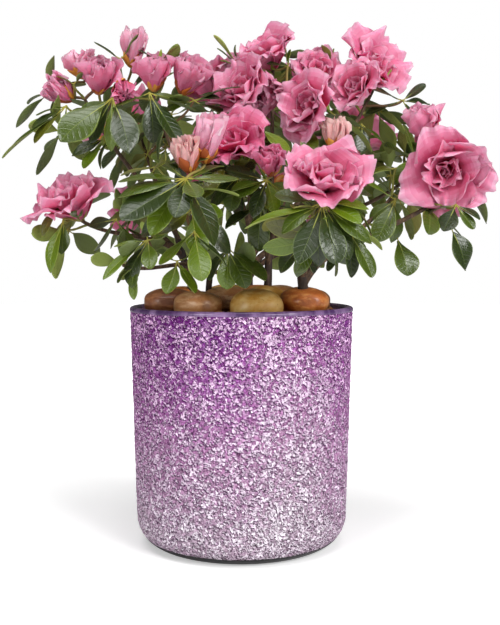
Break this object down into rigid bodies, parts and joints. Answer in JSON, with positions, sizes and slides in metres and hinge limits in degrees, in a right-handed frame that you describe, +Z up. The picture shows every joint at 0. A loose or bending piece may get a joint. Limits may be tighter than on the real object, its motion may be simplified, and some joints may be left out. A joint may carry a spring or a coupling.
{
  "type": "potted florist azalea shrub",
  "caption": "Azalea shrub in full bloom with its stems, boughs and masses of leaves and double flowers, growing in a tall round crackle-glass vase topped with river stones.",
  "frame": {"origin": "middle of the vase's flat foot, on the surface the plant stands on", "axes": "+Z up along the vase's axis, -Y towards the side of the crown that is shown first, +X to its right"},
  "size_m": [0.2983, 0.2573, 0.3261],
  "materials": {
    "vase_glass": "gloss",
    "soil": "matte",
    "river_stone": "satin",
    "bark": "matte",
    "leaves": "satin",
    "blossom": "matte"
  },
  "bodies": {
    "root": {"vase": "vase_glass", "soil": "soil", "stone_1": "river_stone", "stone_2": "river_stone", "stone_3": "river_stone", "stone_4": "river_stone", "stone_5": "river_stone", "stone_6": "river_stone", "stone_7": "river_stone", "stone_8": "river_stone", "stone_9": "river_stone", "stone_10": "river_stone", "stone_11": "river_stone", "stone_12": "river_stone", "stem_back": "bark", "stem_back_left": "bark", "stem_centre": "bark", "stem_left": "bark", "stem_right": "bark", "bough_back": "bark", "bough_back_left": "bark", "bough_back_low_left": "bark", "bough_back_low_right": "bark", "bough_back_right": "bark", "bough_back_top": "bark", "bough_centre": "bark", "bough_centre_right": "bark", "bough_far_left": "bark", "bough_far_right": "bark", "bough_front_left": "bark", "bough_front_low": "bark", "bough_front_right": "bark", "bough_left_low": "bark", "bough_left_shoot": "bark", "bough_left_top": "bark", "bough_right": "bark", "bough_right_back": "bark", "bough_right_top": "bark", "bough_top": "bark", "crown_back": "leaves", "crown_back_left": "leaves", "crown_back_low_left": "leaves", "crown_back_low_right": "leaves", "crown_back_right": "leaves", "crown_back_top": "blossom", "crown_centre": "blossom", "crown_centre_right": "blossom", "crown_far_left": "blossom", "crown_far_right": "leaves", "crown_front_left": "leaves", "crown_front_low": "leaves", "crown_front_right": "leaves", "crown_left_low": "leaves", "crown_left_shoot": "leaves", "crown_left_top": "blossom", "crown_right": "leaves", "crown_right_back": "leaves", "crown_right_top": "blossom", "crown_top": "blossom"}
  },
  "joints": []
}
